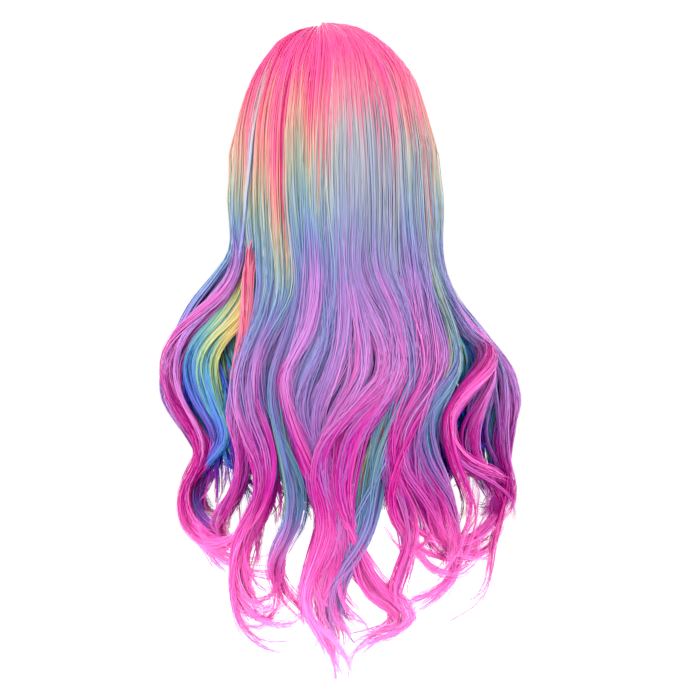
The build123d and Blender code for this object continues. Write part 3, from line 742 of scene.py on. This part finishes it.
def dome_run(root, start, depth):
    """From the swirl or the parting over the dome to brow level, at angle root."""
    root = root[:, None]
    size = np.abs(root)
    s = start[:, None] + (1 - start[:, None]) * np.linspace(0, 1, DOME_STEPS)[None, :]
    parted = smooth_step(*PARTED, size)
    leaves_at = root * (1 - parted) + np.sign(root) * FRONT_END * parted
    angle = root + (leaves_at - root) * (1 - s) ** 1.8
    first_tilt = 4 + 44 * smooth_step(66, 128, size)
    tilt = first_tilt + (90 - first_tilt) * s
    angle = angle + 4.0 * wander(len(root), DOME_STEPS, 0.5, 1.5) * (1 - s)
    away = (s - start[:, None]) * DOME_ARC
    on_right = np.sin(np.radians(angle)) < 0
    raised = 2.5 * (1 - smooth_step(0, 0.5, s)) * on_right + 1.5 * (1 - smooth_step(0.5, 1, s))
    groove = PARTING_DEPTH * (1 - 0.7 * parted) * np.exp(-away / PARTING_WIDTH)
    return dome_point(angle, tilt, raised - depth[:, None] * (0.3 + 0.7 * s) - groove)


def sheet_of_locks(count, roots, paths, dyes):
    """Small locks spread over the leading locks, which draw them together as they fall.

    The last thing returned is how far each is from its leader, from 0 to 1.
    """
    place = (np.arange(count) + RNG.uniform(0, 1, count)) / count * (len(roots) - 1)
    lower = np.minimum(place.astype(int), len(roots) - 2)
    share = place - lower
    root = roots[lower] * (1 - share) + roots[lower + 1] * share
    between = paths[lower] * (1 - share[:, None, None]) + paths[lower + 1] * share[:, None, None]
    own = smooth_step(0.3, 0.7, share)[:, None]
    dye = dyes[lower] * (1 - own) + dyes[lower + 1] * own
    led = paths[np.where(share < 0.5, lower, lower + 1)]
    z = between[..., 1]
    pull = (0.84 * smooth_step(70, 260, -z) + 0.08 * smooth_step(300, 400, -z))[..., None]
    path = between * (1 - pull) + led * pull
    loose = smooth_step(80, 330, -z)
    path[..., 0] += np.degrees((4.5 + 3.0 * loose) * wander(count, PATH_STEPS, 0.8, 2.2) / TYPICAL_RADIUS)
    path[..., 1] += 5.0 * loose * wander(count, PATH_STEPS, 0.8, 2.2)
    path[..., 1] = np.minimum(path[..., 1], 0)
    # a lock stands out most along its leader
    from_leader = (path[..., 0] - led[..., 0]) * MM_PER_DEGREE
    path[..., 2] += 4.5 * smooth_step(90, 200, -z) * np.clip(0.8 - (from_leader / 9.0) ** 2, -1.4, 1)
    path[..., 2] += 2.0 * loose * wander(count, PATH_STEPS, 0.8, 2.2)
    astray = 1 - np.abs(2 * share - 1)
    dye = dye - 0.05 * astray[:, None] * np.array(ASTRAY_DYE)
    return root, curled(path, 9.0, 0.08, 6), dye, astray


def curled(path, usual, tight=0.3, together=1):
    """Turn the last part of each lock round into a curl; tight is the share of tight curls.

    Locks that lie side by side curl alike, as many together as that says. A tight curl goes on the way that
    its lock already turns.
    """
    count, steps = path.shape[:2]
    t = np.linspace(0, 1, steps - 1)[None, :]
    aside, down = np.diff(path[..., 0]) * MM_PER_DEGREE, np.diff(path[..., 1])
    length, heading = np.hypot(aside, down), np.unwrap(np.arctan2(down, aside), axis=1)
    way = np.where(heading[:, -1] < heading[:, 2 * steps // 3], -1, 1)
    group = np.arange(count) // together
    number = group[-1] + 1
    turn = np.radians(usual) * RNG.normal(0, 1, number)
    strong = RNG.uniform(0, 1, number) < tight
    tightly = np.radians(RNG.uniform(80, 160, number))
    turn = np.where(strong[group], tightly[group] * way, turn[group]) + RNG.normal(0, 0.1, count)
    begins = RNG.uniform(0.7, 0.82, number)[group] + RNG.uniform(-0.02, 0.02, count)
    heading = heading + turn[:, None] * smooth_step(begins[:, None], 1.0, t)
    path[:, 1:, 0] = path[:, :1, 0] + np.cumsum(length * np.cos(heading), axis=1) / MM_PER_DEGREE
    path[:, 1:, 1] = path[:, :1, 1] + np.cumsum(length * np.sin(heading), axis=1)
    return path


def eased(centres):
    """Round off the bend at brow level, where the run over the dome meets the fall."""
    out = np.linalg.norm(centres[..., :2], axis=-1, keepdims=True)
    near = np.exp(-((np.arange(centres.shape[1]) - DOME_STEPS + 1) / 3.0) ** 2)[None, :, None]
    for _ in range(10):
        middle = (centres[:, :-2] + centres[:, 2:]) / 2
        centres[:, 1:-1] += 0.5 * near[:, 1:-1] * (middle - centres[:, 1:-1])
    centres[..., :2] *= out / np.maximum(np.linalg.norm(centres[..., :2], axis=-1, keepdims=True), 1)
    return centres


def whole_locks(root, path, dye, depth, start, sunk=0.0):
    """Join the run over the dome, sunk below the others or not, to the fall, with its dye and painted shade.
    """
    fall = drape_point(path[..., 0], path[..., 1], path[..., 2] - depth[:, None])
    dome = dome_run(root, start, depth + sunk)
    centres = eased(np.concatenate([dome[:, :-1], fall], axis=1))
    z = centres[..., 2]
    above = DOME_RUN * np.arccos(np.clip(z / DOME_OUTSIDE[2], 0, 1)) / (pi / 2)
    run = np.where(z > 0, above, DOME_RUN - z)
    lag = np.array([np.interp(-z[i], DYE_LEVELS, dye[i]) for i in range(len(dye))])
    layer = depth[:, None] / SHEET_DEPTH
    # painted shade: deeper locks are darker and, lower down, bluer; most of all where the waves stand over
    # them
    painted_shade_band = smooth_step(200, 290, -z) * (1 - smooth_step(335, 375, -z))
    fade = fade_at(run) + lag * (1 - smooth_step(70, 115, z))
    fade = fade - 0.08 * layer * smooth_step(100, 220, -z) - 0.16 * layer ** 2 * painted_shade_band
    light = (1.05 - 0.13 * layer) * (1 - (0.14 + 0.40 * layer) * painted_shade_band)
    # painted light: the ends below the waves are lighter, as thin hair with light through it
    return centres, fade, light * (1 + 0.08 * smooth_step(330, 400, -z))


def profile(steps, *pairs):
    """A value along a lock, from given (share of length, value) pairs."""
    share, value = zip(*pairs)
    return np.interp(np.linspace(0, 1, steps), share, value)


def crown_hair(material, vivid):
    left_swept = [swept_path(root, 0.5 * i) for i, root in enumerate(SWEPT_ROOTS)]
    right_swept = [swept_path(-root, 0.3 + 0.5 * i) for i, root in enumerate(SWEPT_ROOTS)]
    plain = [SWEPT_DYE] * len(SWEPT_ROOTS)
    roots = np.array([*reversed(SWEPT_ROOTS), *[lock["root"] for lock in LOCKS], *[-r for r in SWEPT_ROOTS]])
    paths = np.array([*reversed(left_swept), *[lock_path(lock) for lock in LOCKS], *right_swept])
    dyes = np.array([*plain, *[lock["dye"] for lock in LOCKS], *plain], float)
    count = SHEET_LOCKS
    root, path, dye, astray = sheet_of_locks(count, roots, paths, dyes)
    dye = dye + RNG.normal(0, 0.036, (count, 1))
    depth = SHEET_DEPTH * RNG.uniform(0, 1, count) ** 1.3 * (0.75 + 0.5 * astray)
    start = 0.18 * RNG.uniform(0, 1, count) ** 1.8 * (1 - 0.85 * smooth_step(38, 80, np.abs(root)))
    centres, fade, light = whole_locks(root, path, dye, depth, start)
    spread = profile(
        LOCK_STEPS, (0, 3.0), (0.08, 5.5), (0.3, 7.5), (0.45, 6.5), (0.62, 4.2), (0.85, 2.8), (1, 1.3))
    thick = profile(
        LOCK_STEPS, (0, 1.0), (0.08, 1.5), (0.3, 2.2), (0.45, 2.8), (0.62, 3.0), (0.85, 2.4), (1, 1.2))
    scale = RNG.uniform(0.7, 1.3, (count, 1))
    counts = np.round(STRANDS_IN_LOCK * RNG.uniform(0.7, 1.3, count)).astype(int)
    ends = 1 - 0.18 * np.sqrt(astray) * RNG.uniform(0, 1, count)
    mix = np.interp(root, (-75, -55, -12, 0, 24, 32), (0, 0.8, 0.8, 0.5, 0.2, 0))
    cool = np.interp(root, (-68, -52, -32, -8, 2, 12), (0, 0.7, 1, 1, 0.5, 0))[:, None]
    cool = cool * (1 - smooth_step(130, 240, -centres[..., 2]))
    hair = strands_in_locks(
        centres, fade, counts, spread * scale, thick * scale, 0.37, light, 0.93, ends, mix, cool)
    owner_root = np.repeat(root, counts)
    size = np.abs(owner_root)
    for sector, low, high in SECTORS:
        for side, sign in (("left", 1), ("right", -1)):
            inside = (np.sign(owner_root) == sign) & (size >= low) & (size < high)
            node = f"crown_hair_{sector}_{side}"
            hair_pieces(f"{node}_strands", hair.take(inside), node, material)
    lone_hair(material, vivid)


def lone_hair(material, vivid):
    """The locks that stand apart. One with under lies hidden that far down, and comes out to a point."""
    spread = profile(LOCK_STEPS, (0, 3), (0.3, 5), (0.6, 4), (1, 1.2))
    thick = profile(LOCK_STEPS, (0, 1.5), (0.3, 2.5), (1, 1.0))
    for number, lock in enumerate(LONE_LOCKS, start=1):
        half = lock["spread"]
        full = half > 6
        count = int(6 + 1.6 * half) if full else 6
        path = np.repeat(lock_path(lock)[None], count, axis=0)
        z = path[..., 1]
        loose = smooth_step(60, 200, -z)
        offset = np.linspace(-1, 1, count)[:, None] + RNG.normal(0, 0.12, (count, 1))
        narrow = 1 - 0.5 * loose if half < 20 else 1 - 0.75 * smooth_step(215, 330, -z)
        aside = offset * half * narrow + 2.5 * loose * wander(count, PATH_STEPS)
        path[..., 0] += np.degrees(aside / TYPICAL_RADIUS)
        path[..., 2] += 1.5 * loose * wander(count, PATH_STEPS)
        sunk = max(lock["depth"], 0)
        if "under" in lock:
            hidden = 1 - smooth_step(-30, 25, -z - lock["under"] - 40 * offset ** 2)
            path[..., 2] -= (HIDDEN_DEPTH - lock["depth"]) * hidden
            sunk = HIDDEN_DEPTH
        root = lock["root"] + np.degrees(offset[:, 0] * min(half, 12) / ROOT_RADIUS)
        dye = np.array(lock["dye"]) + lock.get("across", 0.0) * offset + RNG.normal(0, 0.02, (count, 1))
        depth = RNG.uniform(0, 4, count)
        path = curled(path, 6.0, 0.0)
        centres, fade, light = whole_locks(root, path, dye, depth, np.full(count, 0.1), sunk)
        # painted light and shade: from just above brow level down, the lock is made lighter, or darker, by
        # its light
        light = light * (1 + (lock.get("light", 1.0) - 1) * smooth_step(-55, -15, -centres[..., 2]))
        hair = strands_in_locks(
            centres, fade, 18 if full else 8, spread, thick, 0.42, light,
            lock.get("shortest", 0.84), lock.get("ends", 1.0), 0.0, lock.get("cool", 0.0))
        side = "left" if lock["root"] > 0 else "right"
        sector = "side" if abs(lock["root"]) < FRONT_FROM else "front"
        finish = vivid if lock.get("vivid") else material
        hair_pieces(f"lone_lock_{number}", hair, f"crown_hair_{sector}_{side}", finish)


# Middle of the swirl, its radius, and the height that its hair starts at.
SWIRL_X = 10.5
SWIRL_RADIUS = 5.5
SWIRL_Z = 115.4


def crown_swirl(material):
    """The short hair in the middle of the swirl."""
    count = 40
    place = RNG.uniform(0, 2 * pi, count)
    radius = SWIRL_RADIUS * np.sqrt(RNG.uniform(0.05, 1, count))
    t = np.linspace(0, 1, 10)[None, :]
    turn = place[:, None] + 1.6 * t
    reach = radius[:, None] * (0.3 + 0.7 * t)
    x = SWIRL_X + reach * np.cos(turn)
    y = reach * np.sin(turn)
    z = SWIRL_Z + 6.0 * np.sin(pi * 0.6 * t) + 0 * turn
    hair = strands_in_locks(np.stack([x, y, z], -1), 0.02, 4, 0.9, 0.6, 0.4)
    hair_pieces("crown_swirl_strands", hair, "crown_swirl", material)


# ---- hair of the wefts
# Height of each track and the angle that it reaches on both sides.
ROW_LEVELS = (-52.0, -34.0, -16.0, 2.0, 20.0, 38.0, 56.0, 74.0)
ROW_REACH = (66.0, 67.0, 72.0, 110.0, 116.0, 118.0, 118.0, 118.0)
ROW_STEPS = 30
# Length of a whole wave, the room left inside the crown hair, and the top of the head.
ROW_WAVE = 128.0
CROWN_ROOM = 12
HEAD_TOP = 117.0


def narrowed(z):
    """The width of the head above brow level, as a share of its width there."""
    return np.sqrt(np.clip(1 - (np.maximum(z, 0) / HEAD_TOP) ** 2, 0.05, 1))


def weft_row(number, level, reach, material):
    """A row of hair from its track down inside the crown hair."""
    count = int(16 + reach / 3.2)
    root = np.linspace(-reach, reach, count) + RNG.uniform(-1.5, 1.5, count)
    bottom = -334.0 - 2.0 * number + RNG.uniform(-30, 22, count) + 26 * smooth_step(50, 100, np.abs(root))
    t = np.linspace(0, 1, ROW_STEPS)[None, :]
    z = level - 1.0 + (bottom[:, None] - level) * t
    z = z + 4 * wander(count, ROW_STEPS)
    loose = smooth_step(120, 240, -z)
    side = np.sign(root)[:, None]
    beat = 2 * pi * (-z - 170) / ROW_WAVE
    wave = side * 13 * np.cos(beat + 0.35 * RNG.normal(0, 1, (count, 1))) + 5 * wander(count, ROW_STEPS)
    gathered = np.where(z < 0, at_level(GATHER_CURVE, z), 1.0)
    angle = root[:, None] * gathered + np.degrees(loose * wave / TYPICAL_RADIUS)
    path = curled(np.stack([angle, z, z], axis=-1), 30.0)
    angle, z = path[..., 0], path[..., 1]
    # upper rows lie further out
    share = (number - 0.5) / (len(ROW_LEVELS) + 0.5)
    below = np.minimum(z, 0)
    base_width, base_depth = at_level(BASE_WIDTH_CURVE, below), at_level(BASE_DEPTH_CURVE, below)
    lift = smooth_step(0, 60, level - z) * share
    width = base_width + (half_width(angle, below) - CROWN_ROOM - base_width) * lift
    depth = base_depth + (at_level(DEPTH_CURVE, below) - CROWN_ROOM - base_depth) * lift
    shrink = narrowed(z)
    turn = np.radians(angle)
    wobble = 3 * loose * wander(count, ROW_STEPS)
    x, y = (width + wobble) * shrink * np.sin(turn), (depth + wobble) * shrink * np.cos(turn)
    fade = fade_at((level - z) * 0.82 + 20) + RNG.normal(0, 0.04, (count, 1))
    fade = fade + 0.16 * smooth_step(290, 350, -z)
    spread = profile(ROW_STEPS, (0, 7), (0.1, 9), (0.5, 8), (0.75, 5.5), (1, 1.0))
    thick = profile(ROW_STEPS, (0, 0.7), (0.1, 2), (0.5, 3), (0.75, 2.5), (1, 0.8))
    # painted shade: the rows darken from about 150 mm down, under the hair over them; painted light lifts
    # their ends
    light = 0.92 - 0.22 * smooth_step(150, 270, -z) + 0.34 * smooth_step(305, 355, -z)
    hair = strands_in_locks(np.stack([x, y, z], -1), fade, 13, spread, thick, 0.52, light, 0.86)
    hair_pieces(f"weft_hair_{number:02d}_strands", hair, f"weft_hair_{number:02d}", material)


# ---- hair that frames the face
def face_locks(material):
    """The hair at the temples: sewn in below the crown hair's front edge, and hanging before the ears."""
    count = 26
    for side, sign, phase in (("left", 1, 0.5), ("right", -1, 1.5)):
        root = RNG.uniform(119, 133, count)[:, None]
        top = RNG.uniform(24, 46, count)[:, None]
        run = np.linspace(0, 1, ROW_STEPS)[None, :] * RNG.uniform(300, 375, count)[:, None]
        swing = 16 * smooth_step(60, 160, run) + 20 * smooth_step(160, 240, run)
        swing = swing + 38 * smooth_step(265, 350, run)
        beat = 2 * pi * (run - 60) / (150 - 0.13 * run) + phase + 0.35 * RNG.normal(0, 1, (count, 1))
        heading = np.radians(swing) * np.sin(beat)
        step = run[:, 1:2]
        z = top - np.cumsum(np.cos(heading), axis=1) * step
        aside = np.cumsum(np.sin(heading), axis=1) * step
        below = np.minimum(z, 0)
        width, depth = at_level(BASE_WIDTH_CURVE, below), at_level(BASE_DEPTH_CURVE, below)
        outwards = 5 + 6 * smooth_step(0, 120, -z) + 4 * np.cos(beat) * smooth_step(60, 160, run)
        outwards = outwards + RNG.uniform(-3, 4, (count, 1))
        shrink = narrowed(z)
        hang = root + (136 + (root - 126) * 1.6 - root) * smooth_step(0, 110, top - z)
        turn = np.radians(hang - np.degrees((aside + 3 * wander(count, ROW_STEPS)) / 125))
        x, y = (width + outwards) * shrink * np.sin(turn), (depth + outwards) * shrink * np.cos(turn)
        fade = fade_at(150 + top - z) + RNG.normal(0.0, 0.02, (count, 1))
        spread = profile(ROW_STEPS, (0, 1.5), (0.2, 4.5), (0.7, 4.0), (1, 2.5))
        thick = profile(ROW_STEPS, (0, 0.8), (0.2, 2.6), (1, 2.0))
        centres = np.stack([sign * x, y, z], -1)
        hair = strands_in_locks(centres, fade, 16, spread, thick, 0.38, shortest=0.78)
        hair_pieces(f"face_lock_{side}_strands", hair, f"face_lock_{side}", material)


# ---- the cap and its fittings
LEVEL = (0.0, 0.0, 0.0)
# Finish for each material slot of the CAD: thread colour, gap colour, spacing and share of the threads and
# their turn for a woven one, and two colours, grain and range of roughness for a moulded one.
WOVEN = {
    "cap_net": ("stretch_net", (0.035, 0.03, 0.035), (0.16, 0.035, 0.08), 0.0026, 0.42, None),
    "edge_tape": ("folded_tape", (0.05, 0.048, 0.055), (0.02, 0.018, 0.022), 0.0016, 0.5, LEVEL),
    "soft_lining": ("velour_lining", (0.13, 0.12, 0.13), (0.09, 0.085, 0.09), 0.0008, 0.5, None),
    "parting_skin": ("parting_skin", (0.86, 0.60, 0.48), (0.80, 0.52, 0.42), 0.0007, 0.5, None),
    "woven_tab": ("satin_tab", (0.80, 0.79, 0.76), (0.70, 0.69, 0.66), 0.0006, 0.5, LEVEL, 0.45),
    "weft_stitching": ("weft_stitching", (0.60, 0.10, 0.28), (0.34, 0.05, 0.16), 0.0022),
    "elastic": ("ribbed_elastic", (0.06, 0.06, 0.066), (0.02, 0.02, 0.022), 0.0014, 0.55, LEVEL),
}
MOULDED = {
    "stay_plastic": ("stay_plastic", (0.82, 0.81, 0.78), (0.74, 0.73, 0.70), 600, 0.30, 0.42),
    "hook_metal": ("coated_hook", (0.022, 0.022, 0.024), (0.05, 0.05, 0.054), 900, 0.24, 0.38),
}


def dress_cap():
    """Finishes for the cap, which stays as the CAD has it, and each strap's webbing copied as a piece of its
    own.
    """
    wardrobe = {slot: woven_material(*finish) for slot, finish in WOVEN.items()}
    wardrobe.update({slot: moulded_material(*finish) for slot, finish in MOULDED.items()})
    for entry in frame["record"]["subparts"]:
        material = wardrobe.get(entry["material_slot"])
        for slot in frame["nodes"][entry["node"]].material_slots if material else ():
            slot.material = material
    for side in ("left", "right"):
        node = frame["nodes"][f"strap_webbing_{side}"]
        ribbon = bpy.data.objects.new(f"strap_webbing_{side}_elastic", node.data.copy())
        bpy.context.scene.collection.objects.link(ribbon)
        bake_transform(ribbon)
        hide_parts(f"strap_webbing_{side}")


# ---- stage
# Place, size and power of each lamp, and the point that all of them face.
LAMPS = (
    ("key", (0.9, 1.6, 1.1), 1.3, 13), ("fill", (-1.3, 1.4, 0.4), 1.2, 6),
    ("front", (-0.6, -1.7, 0.9), 1.3, 18), ("left", (2.0, 0.35, 0.1), 1.4, 13),
    ("right", (-2.0, 0.35, 0.1), 1.4, 11),
)
LAMPS_FACE = (0, 0, -0.15)
FLOOR_BELOW = 0.03
FLOOR_RADIUS = 4

# The camera looks at the wig straight from behind, level with the middle of its length.
VIEW_CENTRE = (-0.0055, -0.1895)
VIEW_HEIGHT = 0.679
VIEW_PLANE = 0.04
VIEW_DISTANCE = 2.6
SENSOR = 36.0


def studio():
    world = bpy.data.worlds.new("studio")
    bpy.context.scene.world = world
    world.use_nodes = True
    world.node_tree.nodes["Background"].inputs["Color"].default_value = (1, 1, 1, 1)
    world.node_tree.nodes["Background"].inputs["Strength"].default_value = 1.0
    level = CAD_BOX[0][2] - FLOOR_BELOW
    bpy.ops.mesh.primitive_circle_add(
        vertices=96, radius=FLOOR_RADIUS, fill_type="NGON", location=(0, 0, level))
    floor = bpy.context.object
    floor.name = "floor"
    paper, _, _, shader = new_material("floor_paper")
    shader.inputs["Base Color"].default_value = (0.98, 0.98, 0.98, 1)
    shader.inputs["Roughness"].default_value = 0.9
    floor.data.materials.append(paper)
    for name, place, size, power in LAMPS:
        data = bpy.data.lights.new(name, "AREA")
        data.size = size
        data.energy = power
        light = bpy.data.objects.new(name, data)
        light.location = place
        bpy.context.scene.collection.objects.link(light)
        aim = bpy.data.objects.new(name + "_aim", None)
        aim.location = LAMPS_FACE
        bpy.context.scene.collection.objects.link(aim)
        track = light.constraints.new("TRACK_TO")
        track.target = aim
        track.track_axis = "TRACK_NEGATIVE_Z"
        track.up_axis = "UP_Y"
    bpy.context.scene.view_settings.view_transform = "Standard"


def photo_camera():
    data = bpy.data.cameras.new("photo_camera")
    data.sensor_width = SENSOR
    data.lens = SENSOR * VIEW_DISTANCE / VIEW_HEIGHT
    camera = bpy.data.objects.new("photo_camera", data)
    camera.location = (VIEW_CENTRE[0], VIEW_PLANE + VIEW_DISTANCE, VIEW_CENTRE[1])
    camera.rotation_euler = (pi / 2, 0, pi)
    bpy.context.scene.collection.objects.link(camera)
    bpy.context.scene.camera = camera


def build():
    hair = hair_material("dyed_hair_fibre", DYE, COOL_DYE)
    vivid = hair_material("dyed_hair_fibre_inner", RICH_DYE, COOL_DYE)
    crown_hair(hair, vivid)
    crown_swirl(hair)
    for number, (level, reach) in enumerate(zip(ROW_LEVELS, ROW_REACH), start=1):
        weft_row(number, level, reach, vivid)
    face_locks(hair)
    dress_cap()
    studio()
    photo_camera()


build()
